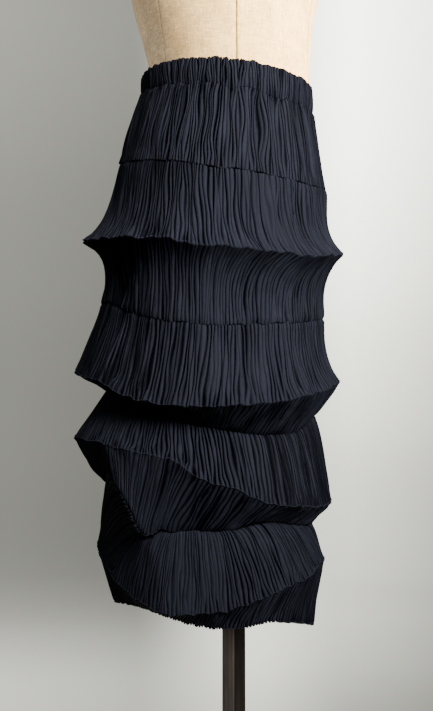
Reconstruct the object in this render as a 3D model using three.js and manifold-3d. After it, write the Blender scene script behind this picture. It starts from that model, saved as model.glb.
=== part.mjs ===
import * as THREE from 'three';
import { mergeVertices } from 'three/addons/utils/BufferGeometryUtils.js';
import Module from 'manifold-3d';

// Accordion pleated skirt in four tiers, on a limbless dress form and its stand.
// Millimetres, +Z up, the floor at z = 0 and the pole on the Z axis. The figure
// faces -Y with its left side at +X. Bearings run in degrees from the front (0)
// to the figure's left (90) and its back (180).

// ---- cloth -------------------------------------------------------------------
const COLUMNS = 72;         // fold lines round a ring, two to a pleat
const WALL = 2.4;           // cloth wall, measured level
const BAND_WALL = 3.2;      // gathered casing with its elastic inside
const SEAM_GAP = 0.4;       // between two pieces sewn together
const CLOTH = 0x23242c;
const CASING = 0x1d1e25;

// A row per ring of stitching or fold edge, waist first. turn is how far round
// the pleats have walked by that ring, pleat how far a fold stands out or in.
const RINGS = {
  waistTop:  { halfWidth: 123, halfDepth: 102, centreX: -1.5, centreY: 7.5, turn: 0,   pleat: 1.2 },
  waistSeam: { halfWidth: 123, halfDepth: 102, centreX: -1.5, centreY: 7.5, turn: 0,   pleat: 1.2 },
  seam1:     { halfWidth: 147, halfDepth: 122, centreX: -3,   centreY: 13,  turn: 0,   pleat: 2.4 },
  ridge1:    { halfWidth: 181, halfDepth: 158, centreX: -8,   centreY: 25,  turn: 2,   pleat: 3 },
  seam2:     { halfWidth: 157, halfDepth: 133, centreX: -6,   centreY: 29,  turn: -5,  pleat: 2.6 },
  ridge2:    { halfWidth: 180, halfDepth: 162, centreX: -12,  centreY: 33,  turn: 0,   pleat: 3 },
  seam3:     { halfWidth: 140, halfDepth: 125, centreX: -9,   centreY: 29,  turn: -14, pleat: 2.6 },
  ridge3:    { halfWidth: 172, halfDepth: 158, centreX: -19,  centreY: 35,  turn: -2,  pleat: 3 },
  seam4:     { halfWidth: 137, halfDepth: 125, centreX: -11,  centreY: 30,  turn: -16, pleat: 2.6 },
  ridge4:    { halfWidth: 150, halfDepth: 141, centreX: -11,  centreY: 29,  turn: -4,  pleat: 3 },
  hem:       { halfWidth: 131, halfDepth: 126, centreX: -8,   centreY: 27,  turn: -12, pleat: 3 },
};

// The height of each ring, every 45 degrees from the front round by the left.
const HEIGHTS = {
  //          front        left        back        right
  waistTop:  [1042, 1042, 1044, 1045, 1045, 1045, 1046, 1045],
  waistSeam: [1005, 1010, 1013, 1017, 1021, 1022, 1018, 1012],
  seam1:     [899, 908, 916, 925, 933, 935, 918, 906],
  ridge1:    [800, 822, 832, 838, 838, 832, 819, 804],
  seam2:     [720, 736, 747, 757, 760, 754, 733, 713],
  ridge2:    [629, 651, 668, 680, 680, 668, 643, 614],
  seam3:     [582, 609, 628, 645, 652, 648, 618, 591],
  ridge3:    [497, 497, 515, 550, 574, 579, 572, 540],
  seam4:     [476, 468, 476, 500, 520, 526, 500, 468],
  ridge4:    [401, 420, 432, 442, 446, 447, 401, 375],
  hem:       [356, 342, 344, 354, 362, 367, 374, 353],
};

// A row per fold that lifts or drops one stretch of a ring, and may push it out.
const FOLDS = [
  { ring: 'ridge1', bearing: -61,  spread: 12, lift: 4,   push: 0 },
  { ring: 'ridge1', bearing: -48,  spread: 6,  lift: -2,  push: 0 },
  { ring: 'ridge2', bearing: -72,  spread: 16, lift: -6,  push: 0 },
  { ring: 'ridge2', bearing: 22,   spread: 12, lift: 5,   push: 0 },
  { ring: 'seam3',  bearing: 27,   spread: 10, lift: 3,   push: 0 },
  { ring: 'ridge3', bearing: -58,  spread: 12, lift: 7,   push: 0 },
  { ring: 'ridge3', bearing: -30,  spread: 16, lift: -9,  push: -3 },
  { ring: 'seam4',  bearing: -102, spread: 9,  lift: 8,   push: 0 },
  { ring: 'seam4',  bearing: -77,  spread: 12, lift: -28, push: 4 },
  { ring: 'ridge4', bearing: -106, spread: 9,  lift: 5,   push: 0 },
  { ring: 'ridge4', bearing: -69,  spread: 16, lift: -9,  push: 3 },
  { ring: 'hem',    bearing: -12,  spread: 10, lift: 3,   push: 0 },
];

// A row per strip of cloth between two rings. A curl of 1 falls straight from
// its seam to its ridge, and a larger one hangs plumb and then flares. sink is
// how far the middle is drawn in. Both are given towards the front left and
// towards the back right. at lists its sections, as shares of the way out.
const STRIPS = [
  { name: 'yoke', rings: ['waistSeam', 'seam1'], curl: [0.9, 0.75], sink: [0, 0], at: [0, 0.5, 1] },
  { name: 'tier_1_upper', rings: ['seam1', 'ridge1'], curl: [4.2, 3], sink: [0, -7], at: [0, 0.5, 0.8, 1] },
  { name: 'tier_1_lower', rings: ['ridge1', 'seam2'], curl: [3.2, 7], sink: [1.5, 6.5], at: [0, 0.5, 0.8, 1] },
  { name: 'tier_2_upper', rings: ['seam2', 'ridge2'], curl: [2.8, 1.1], sink: [0, 0], at: [0, 0.45, 0.78, 1] },
  { name: 'tier_2_lower', rings: ['ridge2', 'seam3'], curl: [1, 1], sink: [0, 0], at: [0, 0.5, 1] },
  { name: 'tier_3_upper', rings: ['seam3', 'ridge3'], curl: [0.75, 1], sink: [0, 0], at: [0, 0.4, 1] },
  { name: 'tier_3_lower', rings: ['ridge3', 'seam4'], curl: [1, 0.45], sink: [0, 0], at: [0, 0.3, 1] },
  { name: 'tier_4_upper', rings: ['seam4', 'ridge4'], curl: [0.75, 0.45], sink: [0, 0], at: [0, 0.2, 0.5, 1] },
  { name: 'tier_4_lower', rings: ['ridge4', 'hem'], curl: [1.5, 1.05], sink: [0, 0], at: [0, 0.5, 1] },
];

// ---- dress form and stand ------------------------------------------------------
const SEAT = 0.3;           // between two pieces of the form that touch
const FORM_COLUMNS = 56;
const FORM_STEP = 36;       // most between two sections of the form
const LINEN = 0xd9c6a4;
const STEEL = 0x2b2a2a;

// A row per section of the padded form, underside first.
const FORM = [
  { z: 752,  halfWidth: 134,   halfDepth: 102,  centreY: 16 },
  { z: 800,  halfWidth: 140,   halfDepth: 107,  centreY: 16 },
  { z: 855,  halfWidth: 141,   halfDepth: 108,  centreY: 14 },
  { z: 918,  halfWidth: 135,   halfDepth: 105,  centreY: 11 },
  { z: 965,  halfWidth: 124,   halfDepth: 99,   centreY: 7.5 },
  { z: 1005, halfWidth: 116,   halfDepth: 94.7, centreY: 6 },
  { z: 1045, halfWidth: 115.5, halfDepth: 94.5, centreY: 6 },
  { z: 1080, halfWidth: 120,   halfDepth: 98,   centreY: 7 },
  { z: 1147, halfWidth: 134,   halfDepth: 107,  centreY: 9 },
  { z: 1215, halfWidth: 146,   halfDepth: 117,  centreY: 3 },
  { z: 1290, halfWidth: 158,   halfDepth: 112,  centreY: 8 },
  { z: 1350, halfWidth: 168,   halfDepth: 99,   centreY: 15 },
  { z: 1393, halfWidth: 166,   halfDepth: 84,   centreY: 17 },
  { z: 1420, halfWidth: 138,   halfDepth: 70,   centreY: 17 },
  { z: 1445, halfWidth: 88,    halfDepth: 60,   centreY: 13 },
  { z: 1465, halfWidth: 61,    halfDepth: 54,   centreY: 9 },
  { z: 1487, halfWidth: 54,    halfDepth: 52,   centreY: 6 },
  { z: 1510, halfWidth: 52,    halfDepth: 52,   centreY: 5 },
];
const FORM_UNDERSIDE = FORM[0];
const NECK = FORM[FORM.length - 1];

const ARM_FACE_X = 152;     // the flat faces where arms would start
const ARM_PLATE = { y: 16, z: 1350, halfDepth: 44, halfHeight: 58, thickness: 4 };
const NECK_CAP = { rim: 10, dome: 12, knobRadius: 13, knobNeck: 7, knobHeight: 24 };
const POLE = { side: 22, bore: 18, corner: 2, boreCorner: 0.6 };
const SOCKET = { plateRadius: 62, plateThickness: 5, hubRadius: 24, hubHeight: 42 };
const BASE = { radius: 190, thickness: 8, chamfer: 2 };
const COLLAR = { footRadius: 34, footHeight: 5, topRadius: 22, height: 24 };
const ROUND = { cap: 32, hub: 32, base: 72, oval: 16, corner: 3 };    // segments

const rad = THREE.MathUtils.degToRad;
const { euclideanModulo, lerp } = THREE.MathUtils;
const wasm = await Module();
wasm.setup();

// ---- closed meshes -------------------------------------------------------------
function named(name, geometry, colour) {
  const metal = colour === STEEL;
  const look = { color: colour, roughness: metal ? 0.45 : 0.85, metalness: metal ? 0.7 : 0 };
  const mesh = new THREE.Mesh(geometry, new THREE.MeshStandardMaterial(look));
  mesh.name = name;
  return mesh;
}

function meshOf(corners, faces) {
  const geometry = new THREE.BufferGeometry();
  geometry.setAttribute('position', new THREE.Float32BufferAttribute(corners.flat(), 3));
  geometry.setIndex(faces.flat());
  geometry.computeVertexNormals();
  return geometry;
}

// Two facing triangles between neighbours i and j of the loops that start at
// corner low and corner high.
function band(low, high, i, j) {
  return [[low + i, low + j, high + j], [low + i, high + j, high + i]];
}

// A wall between an outer and an inner stack of loops, both given lowest first
// and anticlockwise seen from above.
function wall(outer, inner) {
  const count = outer[0].length;
  const start = (stackIndex, row) => (stackIndex * outer.length + row) * count;
  const top = outer.length - 1;
  const faces = [];
  for (let i = 0; i < count; i += 1) {
    const j = (i + 1) % count;
    for (let row = 0; row < top; row += 1) {
      faces.push(...band(start(0, row), start(0, row + 1), i, j));
      faces.push(...band(start(1, row), start(1, row + 1), i, j).map((face) => face.reverse()));
    }
    faces.push(...band(start(0, top), start(1, top), i, j));
    faces.push(...band(start(0, 0), start(1, 0), i, j).map((face) => face.reverse()));
  }
  return meshOf([...outer.flat(), ...inner.flat()], faces);
}

// A solid through a stack of loops, closed by a fan at each end.
function loft(loops) {
  const count = loops[0].length;
  const top = loops.length - 1;
  const middle = (loop) => [0, 1, 2].map((k) => loop.reduce((sum, p) => sum + p[k], 0) / count);
  const corners = [...loops.flat(), middle(loops[0]), middle(loops[top])];
  const faces = [];
  for (let i = 0; i < count; i += 1) {
    const j = (i + 1) % count;
    for (let row = 0; row < top; row += 1) faces.push(...band(row * count, (row + 1) * count, i, j));
    faces.push([corners.length - 2, j, i], [corners.length - 1, top * count + i, top * count + j]);
  }
  return meshOf(corners, faces);
}

function toSolid(geometry) {
  const bare = geometry.clone();
  bare.deleteAttribute('normal');
  bare.deleteAttribute('uv');
  const merged = mergeVertices(bare, 1e-3);
  return new wasm.Manifold(new wasm.Mesh({
    numProp: 3,
    vertProperties: merged.attributes.position.array,
    triVerts: new Uint32Array(merged.index.array),
  }));
}

function fromSolid(solid) {
  const { vertProperties, triVerts, numProp } = solid.getMesh();
  const corners = Array.from(
    { length: vertProperties.length / numProp },
    (_, i) => [...vertProperties.slice(i * numProp, i * numProp + 3)],
  );
  return meshOf(corners, [[...triVerts]]);
}

function subtract(geometry, ...cutters) {
  return fromSolid(cutters.reduce((rest, cutter) => rest.subtract(toSolid(cutter)), toSolid(geometry)));
}

// Turned round the Z axis from [radius, height] pairs that start and end on it.
function turned(profile, segments) {
  const points = profile.map(([radius, height]) => new THREE.Vector2(radius, height));
  return new THREE.LatheGeometry(points, segments).rotateX(Math.PI / 2);
}

function roundedSquare(side, corner) {
  const [edge, straight] = [side / 2, side / 2 - corner];
  const shape = new THREE.Shape();
  shape.moveTo(-straight, -edge);
  shape.lineTo(straight, -edge).absarc(straight, -straight, corner, -Math.PI / 2, 0);
  shape.lineTo(edge, straight).absarc(straight, straight, corner, 0, Math.PI / 2);
  shape.lineTo(-straight, edge).absarc(-straight, straight, corner, Math.PI / 2, Math.PI);
  shape.lineTo(-edge, -straight).absarc(-straight, -straight, corner, Math.PI, 1.5 * Math.PI);
  return shape;
}

function upright(shape, low, high) {
  const settings = { depth: high - low, bevelEnabled: false, curveSegments: ROUND.corner };
  return new THREE.ExtrudeGeometry(shape, settings).translate(0, 0, low);
}

// ---- rings and strips of cloth -------------------------------------------------
// A smooth closed curve through evenly spaced values.
function around(values, bearing) {
  const place = euclideanModulo(bearing, 360) / (360 / values.length);
  const i = Math.floor(place);
  const f = place - i;
  const [a, b, c, d] = [-1, 0, 1, 2].map((k) => values[(i + k + values.length) % values.length]);
  return b + 0.5 * f * (c - a + f * (2 * a - 5 * b + 4 * c - d + f * (3 * (b - c) + d - a)));
}

function ringPoint(name, bearing) {
  const { halfWidth, halfDepth, centreX, centreY } = RINGS[name];
  let [z, push] = [around(HEIGHTS[name], bearing), 0];
  for (const fold of FOLDS.filter((row) => row.ring === name)) {
    const away = euclideanModulo(bearing - fold.bearing + 180, 360) - 180;
    const share = Math.exp(-((away / fold.spread) ** 2));
    z += fold.lift * share;
    push += fold.push * share;
  }
  const [sin, cos] = [Math.sin(rad(bearing)), Math.cos(rad(bearing))];
  return [centreX + (halfWidth + push) * sin, centreY - (halfDepth + push) * cos, z];
}

// Whether a strip widens downwards, from its seam at the top to its ridge.
function flares({ rings: [top, bottom] }) {
  return RINGS[bottom].halfWidth >= RINGS[top].halfWidth;
}

// The mean surface of a strip. down is 0 at its top ring and 1 at its bottom.
function stripPoint(strip, column, down) {
  const [top, bottom] = strip.rings.map((name) => RINGS[name]);
  const start = (360 * column) / COLUMNS;
  const a = ringPoint(strip.rings[0], start + top.turn);
  const b = ringPoint(strip.rings[1], start + bottom.turn);
  const bearing = start + lerp(top.turn, bottom.turn, down);
  const fromSeam = flares(strip) ? down : 1 - down;
  const frontLeft = (1 + Math.cos(rad(bearing - 45))) / 2;
  const curl = strip.curl[0] ** frontLeft * strip.curl[1] ** (1 - frontLeft);
  const drawn = lerp(strip.sink[1], strip.sink[0], frontLeft) * 4 * fromSeam * (1 - fromSeam);
  const across = flares(strip) ? fromSeam ** curl : 1 - fromSeam ** curl;
  return {
    x: lerp(a[0], b[0], across) - drawn * Math.sin(rad(bearing)),
    y: lerp(a[1], b[1], across) + drawn * Math.cos(rad(bearing)),
    z: lerp(a[2], b[2], down) - SEAM_GAP * (0.5 - down),
    bearing,
    pleat: lerp(top.pleat, bottom.pleat, down),
  };
}

// A loop of the strip, moved out of its mean surface by offset(fold, pleat).
function stripLoop(strip, down, offset) {
  return Array.from({ length: COLUMNS }, (_, column) => {
    const { x, y, z, bearing, pleat } = stripPoint(strip, column, down);
    const out = offset(column % 2 ? -pleat : pleat, pleat);
    return [x + out * Math.sin(rad(bearing)), y - out * Math.cos(rad(bearing)), z];
  });
}

function clothStrip(strip) {
  const downs = strip.at.map((share) => (flares(strip) ? share : 1 - share)).sort((p, q) => q - p);
  const outer = downs.map((down) => stripLoop(strip, down, (fold) => fold));
  const inner = downs.map((down) => stripLoop(strip, down, (fold) => fold - WALL));
  return named(strip.name, wall(outer, inner), CLOTH);
}

// The waistband's casing is gathered outside and lies flat inside.
function waistband() {
  const strip = { rings: ['waistTop', 'waistSeam'], curl: [1, 1], sink: [0, 0] };
  const outer = [1, 0].map((down) => stripLoop(strip, down, (fold) => fold));
  const inner = [1, 0].map((down) => stripLoop(strip, down, (fold, pleat) => -pleat - BAND_WALL));
  return named('waistband', wall(outer, inner), CASING);
}

// ---- dress form and stand ------------------------------------------------------
// One size of the form between rows b and c, eased through their neighbours.
function eased([a, b, c, d], key, share) {
  const span = c.z - b.z;
  const slopes = [[a, c], [b, d]].map(([p, q]) => ((q[key] - p[key]) / (q.z - p.z)) * span);
  const rise = c[key] - b[key];
  const bend = 3 * rise - 2 * slopes[0] - slopes[1];
  return b[key] + share * (slopes[0] + share * (bend + share * (slopes[0] + slopes[1] - 2 * rise)));
}

function formSections() {
  const row = (k) => FORM[Math.min(Math.max(k, 0), FORM.length - 1)];
  const sections = [];
  for (let k = 0; k < FORM.length - 1; k += 1) {
    const rows = [row(k - 1), row(k), row(k + 1), row(k + 2)];
    const steps = Math.ceil((rows[2].z - rows[1].z) / FORM_STEP);
    for (let step = 0; step < steps; step += 1) {
      const share = step / steps;
      const [halfWidth, halfDepth, centreY] = ['halfWidth', 'halfDepth', 'centreY']
        .map((key) => eased(rows, key, share));
      sections.push({ z: lerp(rows[1].z, rows[2].z, share), halfWidth, halfDepth, centreY });
    }
  }
  return [...sections, NECK];
}

function torso() {
  const loops = formSections().map(({ z, halfWidth, halfDepth, centreY }) => Array.from(
    { length: FORM_COLUMNS },
    (_, i) => {
      const bearing = (2 * Math.PI * i) / FORM_COLUMNS;
      return [halfWidth * Math.sin(bearing), centreY - halfDepth * Math.cos(bearing), z];
    },
  ));
  const reach = 100;
  const arms = [1, -1].map((side) => new THREE.BoxGeometry(reach, 4 * reach, 4 * reach)
    .translate(side * (ARM_FACE_X + reach / 2), 0, ARM_PLATE.z));
  return named('torso', subtract(loft(loops), ...arms), LINEN);
}

// A flat oval plate on each arm face.
function armPlate(name, side) {
  const { y, z, halfDepth, halfHeight, thickness } = ARM_PLATE;
  const oval = new THREE.Shape().absellipse(0, 0, halfHeight, halfDepth, 0, 2 * Math.PI);
  const settings = { depth: thickness, bevelEnabled: false, curveSegments: ROUND.oval };
  const plate = new THREE.ExtrudeGeometry(oval, settings).rotateY((side * Math.PI) / 2);
  return named(name, plate.translate(side * (ARM_FACE_X + SEAT), y, z), STEEL);
}

function neckCap() {
  const { rim, dome, knobRadius, knobNeck, knobHeight } = NECK_CAP;
  const ballHeight = knobHeight - knobRadius;
  const crown = [0.3, 0.6].map((turn) => [
    lerp(NECK.halfWidth, knobNeck, turn),
    rim + dome * Math.sin((turn * Math.PI) / 2),
  ]);
  const ball = [-0.35, -0.1, 0.15, 0.35].map((turn) => [
    knobRadius * Math.cos(turn * Math.PI),
    rim + dome + ballHeight + knobRadius * Math.sin(turn * Math.PI),
  ]);
  const profile = [
    [0, 0], [NECK.halfWidth, 0], [NECK.halfWidth, rim], ...crown,
    [knobNeck, rim + dome], ...ball, [0, rim + dome + knobHeight],
  ];
  const cap = turned(profile, ROUND.cap).translate(0, NECK.centreY, NECK.z + SEAT);
  return named('neck_cap', cap, STEEL);
}

function pole() {
  const section = roundedSquare(POLE.side, POLE.corner);
  section.holes.push(roundedSquare(POLE.bore, POLE.boreCorner));
  return named('pole', upright(section, BASE.thickness + SEAT, FORM_UNDERSIDE.z - SEAT), STEEL);
}

// The square way that the pole fits in, through a socket or collar.
function poleWay(low, high) {
  return upright(roundedSquare(POLE.side + 2 * SEAT, POLE.corner), low - 1, high + 1);
}

// The plate screwed under the form, with a sleeve round the pole.
function poleSocket() {
  const { plateRadius, plateThickness, hubRadius, hubHeight } = SOCKET;
  const top = FORM_UNDERSIDE.z - SEAT;
  const profile = [
    [0, top - hubHeight], [hubRadius, top - hubHeight], [hubRadius, top - plateThickness],
    [plateRadius, top - plateThickness], [plateRadius, top], [0, top],
  ];
  const blank = turned(profile, ROUND.hub);
  return named('pole_socket', subtract(blank, poleWay(top - hubHeight, top)), STEEL);
}

function baseCollar() {
  const low = BASE.thickness + SEAT;
  const profile = [
    [0, low], [COLLAR.footRadius, low], [COLLAR.footRadius, low + COLLAR.footHeight],
    [COLLAR.topRadius, low + COLLAR.height], [0, low + COLLAR.height],
  ];
  const blank = turned(profile, ROUND.hub);
  return named('base_collar', subtract(blank, poleWay(low, low + COLLAR.height)), STEEL);
}

function basePlate() {
  const { radius, thickness, chamfer } = BASE;
  const profile = [
    [0, 0], [radius, 0], [radius, thickness - chamfer], [radius - chamfer, thickness], [0, thickness],
  ];
  return named('base_plate', turned(profile, ROUND.base), STEEL);
}

const part = new THREE.Group();
part.name = 'accordion_pleated_skirt';
part.add(
  waistband(),
  ...STRIPS.map(clothStrip),
  torso(),
  neckCap(),
  armPlate('arm_plate_left', 1),
  armPlate('arm_plate_right', -1),
  poleSocket(),
  pole(),
  baseCollar(),
  basePlate(),
);

export default part;
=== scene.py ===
"""Dresses the frame of a tiered, accordion pleated skirt on its dress form and stand."""

import math
from collections import namedtuple

import bpy
import numpy as np
from bpy.props import FloatProperty, FloatVectorProperty, IntProperty, PointerProperty
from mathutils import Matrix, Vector


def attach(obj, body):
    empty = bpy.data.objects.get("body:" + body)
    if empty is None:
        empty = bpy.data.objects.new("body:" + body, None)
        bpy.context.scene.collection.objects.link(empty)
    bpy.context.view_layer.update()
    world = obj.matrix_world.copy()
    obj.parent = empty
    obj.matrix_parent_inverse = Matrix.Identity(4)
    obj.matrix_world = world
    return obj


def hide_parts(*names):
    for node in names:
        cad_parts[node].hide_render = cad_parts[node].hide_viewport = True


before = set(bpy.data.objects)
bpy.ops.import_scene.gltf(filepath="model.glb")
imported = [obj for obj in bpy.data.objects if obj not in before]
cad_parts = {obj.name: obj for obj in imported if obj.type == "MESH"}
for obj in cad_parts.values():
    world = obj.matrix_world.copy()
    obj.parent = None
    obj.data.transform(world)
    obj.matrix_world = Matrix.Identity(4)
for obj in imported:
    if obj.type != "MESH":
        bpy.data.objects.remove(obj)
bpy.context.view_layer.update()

bl_info = {
    "name": "Tiered pleated skirt on a dress form",
    "version": (1, 0, 0),
    "blender": (4, 5, 0),
    "location": "3D View > Sidebar > Skirt",
    "description": "Pleated strips, gathered waistband, linen form and steel stand",
    "category": "Object",
}

MM = 0.001

# Bearings run in degrees from the front (0) to the figure's left (90) and its back
# (180). Lengths in the tables are millimetres, as in the part's own source.

# A row per ring of stitching or fold edge, waist first.
Ring = namedtuple("Ring", "half_width half_depth centre_x centre_y")
RINGS = {
    "waistTop": Ring(123, 102, -1.5, 7.5),
    "waistSeam": Ring(123, 102, -1.5, 7.5),
    "seam1": Ring(147, 122, -3, 13),
    "ridge1": Ring(181, 158, -8, 25),
    "seam2": Ring(157, 133, -6, 29),
    "ridge2": Ring(180, 162, -12, 33),
    "seam3": Ring(140, 125, -9, 29),
    "ridge3": Ring(172, 158, -19, 35),
    "seam4": Ring(137, 125, -11, 30),
    "ridge4": Ring(150, 141, -11, 29),
    "hem": Ring(131, 126, -8, 27),
}

# The height of each ring, every 45 degrees from the front round by the left.
HEIGHTS = {
    #            front        left        back        right
    "waistTop": (1042, 1042, 1044, 1045, 1045, 1045, 1046, 1045),
    "waistSeam": (1005, 1010, 1013, 1017, 1021, 1022, 1018, 1012),
    "seam1": (899, 908, 916, 925, 933, 935, 918, 906),
    "ridge1": (800, 822, 832, 838, 838, 832, 819, 804),
    "seam2": (720, 736, 747, 757, 760, 754, 733, 713),
    "ridge2": (629, 651, 668, 680, 680, 668, 643, 614),
    "seam3": (582, 609, 628, 645, 652, 648, 618, 591),
    "ridge3": (497, 497, 515, 550, 574, 579, 572, 540),
    "seam4": (476, 468, 476, 500, 520, 526, 500, 468),
    "ridge4": (401, 420, 432, 442, 446, 447, 401, 375),
    "hem": (354, 338, 343, 354, 362, 368, 374, 354),
}

# A row per fold that lifts or drops one stretch of a ring, and may push it out.
Fold = namedtuple("Fold", "ring bearing spread lift push")
FOLDS = (
    Fold("seam1", -80, 26, 2, 0),
    Fold("seam1", -42, 9, -2.5, 0),
    Fold("seam1", 18, 16, -2, 0),
    Fold("ridge1", -81, 6, 2, 0),
    Fold("ridge1", -61, 9, 4, 0),
    Fold("ridge1", -50, 6, -3, 0),
    Fold("ridge1", -35, 40, 3, -8),
    Fold("seam2", -103, 12, 6, 0),
    Fold("seam2", -64, 7, -2, 0),
    Fold("ridge2", -92, 8, 4, 0),
    Fold("ridge2", -72, 16, -6, 0),
    Fold("ridge2", -41, 2, 2, 0),
    Fold("ridge2", -32, 2, 2, 0),
    Fold("ridge2", -8, 8, -3, 0),
    Fold("ridge2", 28, 9, 4, 0),
    Fold("seam3", 27, 10, 3, 0),
    Fold("ridge3", -55, 10, 6, 0),
    Fold("ridge3", -45, 7, -4, 0),
    Fold("ridge3", -30, 16, -9, -3),
    Fold("ridge3", -27, 7, 4, 0),
    Fold("ridge3", -12, 8, -4, 0),
    Fold("seam4", -82, 16, 0, 42),
    Fold("seam4", -90, 14, 36, 0),
    Fold("seam4", -71.5, 4.5, -24, 0),
    Fold("seam4", -62, 8, -9, 0),
    Fold("seam4", -14, 9, 3, 0),
    Fold("seam4", 14, 18, -5, 0),
    Fold("ridge4", -106, 9, 5, 0),
    Fold("ridge4", -69, 16, -9, 0),
    Fold("ridge4", 30, 12, 6, 0),
    Fold("hem", -12, 10, 3, 0),
)

# A row per sharp fold that runs down a strip, through bearings at these shares of the
# way down. It stands out by its pushes at the top and the bottom, and dies away over its
# spread.
ARRIS_SHARES = (0, 0.33, 1)
Arris = namedtuple("Arris", "strip bearings pushes spread")
ARRISES = (
    Arris("tier_3_lower", (-54, -57, -64), (2, 6), 10),
    Arris("tier_4_upper", (-74, -67, -63), (6, 4), 8),
    Arris("tier_4_lower", (-63, -63, -63), (4, 0), 8),
)

# A row per patch where the pleats are pressed flatter, and their creases' painted shade is
# paler, or darker below zero, by these shares at most: painted light where the strip is
# lit more, painted shade where it lies in shadow. It dies away over its spread.
Patch = namedtuple("Patch", "strip bearing spread flatter paler")
PATCHES = (
    Patch("waistband", 35, 50, 0.5, -0.8),
    Patch("yoke", 35, 55, 0.55, -0.8),
    Patch("yoke", -25, 25, 0.3, 0.4),
    Patch("tier_1_upper", 55, 40, 0.5, -0.4),
    Patch("tier_1_upper", -24, 24, 0.4, 0.6),
    Patch("tier_1_upper", -68, 14, 0, -1.5),
    Patch("tier_1_lower", 40, 50, 0.5, -0.5),
    Patch("tier_1_lower", -45, 22, 0.5, 0.7),
    Patch("tier_1_lower", -80, 18, -0.4, -3.0),
    Patch("tier_2_upper", -86, 22, -0.6, -3.5),
    Patch("tier_2_upper", 40, 45, 0.5, -0.7),
    Patch("tier_2_lower", -5, 25, -0.4, -2.0),
    Patch("tier_3_upper", 40, 50, 0.5, -0.8),
    Patch("tier_3_upper", 22, 38, 0, -2.0),
    Patch("tier_3_lower", -66, 18, 0.4, 0.8),
    Patch("tier_3_lower", -46, 13, 0, -1.5),
    Patch("tier_4_upper", -58, 20, 0.4, 0.5),
    Patch("tier_4_upper", 40, 40, 0.4, -0.4),
    Patch("tier_4_upper", -95, 20, 0, 0.4),
    Patch("tier_4_lower", 25, 40, 0.3, -2.8),
)

# How far round its pleats lean at a strip's seam from where they stand at its ridge or
# hem. Each row pairs bearings at the ridge with the degrees from there to the seam.
Lean = namedtuple("Lean", "bearings degrees")
LEANS = {
    "yoke": Lean((0,), (0,)),
    "tier_1_upper": Lean((-160, -95, -75, 25, 90), (-4, -10, -6.5, -6.5, -3)),
    "tier_1_lower": Lean((-85, -62, -40, -20, -5, 10, 90), (-8, -1, -3, -7, -9, -6, -4)),
    "tier_2_upper": Lean((-110, -70, -45, 0, 90), (3, -1, 2, -1, 0)),
    "tier_2_lower": Lean((-90, 0, 90), (-7, -6, -5)),
    "tier_3_upper": Lean((-95, -78, -38, -5, 25, 135), (-14, -8, -8, -3, -3, -7)),
    "tier_3_lower": Lean(
        (-97, -84, -68, -59, -45, -15, 10, 135), (-14, 2, -7, -13, -18, -12, -10, -13)),
    "tier_4_upper": Lean(
        (-150, -130, -106, -84, -72, -66, -60, -54, -30, -20, 0, 30, 60, 90, 135, 180),
        (45, 50, 35, 16, 10, 6, 2, 0, -6, -11, -13, -17, -18, -14, 0, 20)),
    "tier_4_lower": Lean((-90, 0, 90), (-5, -8, -7)),
}

# A row per strip of cloth between two rings. curl and sink are given at the front
# left, the front right and the back right. A curl of 1 falls straight from its seam
# to its ridge, and a larger one hangs plumb and then flares. sink is how far the
# middle is drawn in. cut is the strip's cut depth from seam to ridge.
Strip = namedtuple("Strip", "name top bottom curl sink cut")
STRIP_BEARINGS = (45, -45, -85, -130)
STRIPS = (
    Strip("yoke", "waistSeam", "seam1", (0.9, 0.82, 0.78, 0.75), (0, 0, 0, 0), 112),
    Strip("tier_1_upper", "seam1", "ridge1", (4.2, 3.6, 3.2, 3), (0, -3.5, -6, -7), 118),
    Strip("tier_1_lower", "ridge1", "seam2", (3.2, 4.7, 6.2, 7), (1.5, 4, 6, 6.5), 98),
    Strip("tier_2_upper", "seam2", "ridge2", (2.8, 1.8, 1.3, 1.1), (0, 0, 0, 0), 106),
    Strip("tier_2_lower", "ridge2", "seam3", (1, 1, 1, 1), (0, 0, 0, 0), 62),
    Strip("tier_3_upper", "seam3", "ridge3", (0.75, 0.87, 0.96, 1), (0, 0, 0, 0), 100),
    Strip("tier_3_lower", "ridge3", "seam4", (1, 1, 1.1, 0.45), (0, 0, 0, 0), 66),
    Strip("tier_4_upper", "seam4", "ridge4", (0.75, 0.6, 0.5, 0.45), (0, 0, 0, 0), 82),
    Strip("tier_4_lower", "ridge4", "hem", (1.5, 1.25, 1.1, 1.05), (0, 0, 0, 0), 74),
)
SEAM_GAP = 0.4              # between two pieces sewn together

# How each strip's pleats lie: depth of the creases as a share of the settings' depth,
# how dark their painted shade is, how far they wander, how much the seam gathers them
# and paints shade beside it, the height of the puckers beside it, how far it pulls the
# cloth in, and the rows of the mesh.
Lie = namedtuple("Lie", "depth shade wander gather puckers dip rows")
LIES = {
    "yoke": Lie(1.1, 1.0, 0.36, 1.0, 2.4, 0.0, 17),
    "tier_1_upper": Lie(0.95, 0.75, 0.25, 0.3, 0.3, 0.9, 17),
    "tier_1_lower": Lie(1.2, 0.9, 0.2, 0.1, 0.3, 1.4, 16),
    "tier_2_upper": Lie(0.75, 0.65, 0.22, 0.1, 1.0, 1.4, 17),
    "tier_2_lower": Lie(0.6, 0.65, 0.2, 0.0, 0.2, 1.4, 13),
    "tier_3_upper": Lie(0.9, 0.95, 0.16, 0.0, 0.3, 1.4, 16),
    "tier_3_lower": Lie(0.75, 0.75, 0.2, 0.0, 0.2, 1.4, 14),
    "tier_4_upper": Lie(0.7, 0.6, 0.22, 0.1, 0.3, 1.4, 16),
    "tier_4_lower": Lie(0.7, 0.75, 0.2, 0.0, 0.2, 1.4, 14),
}
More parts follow.
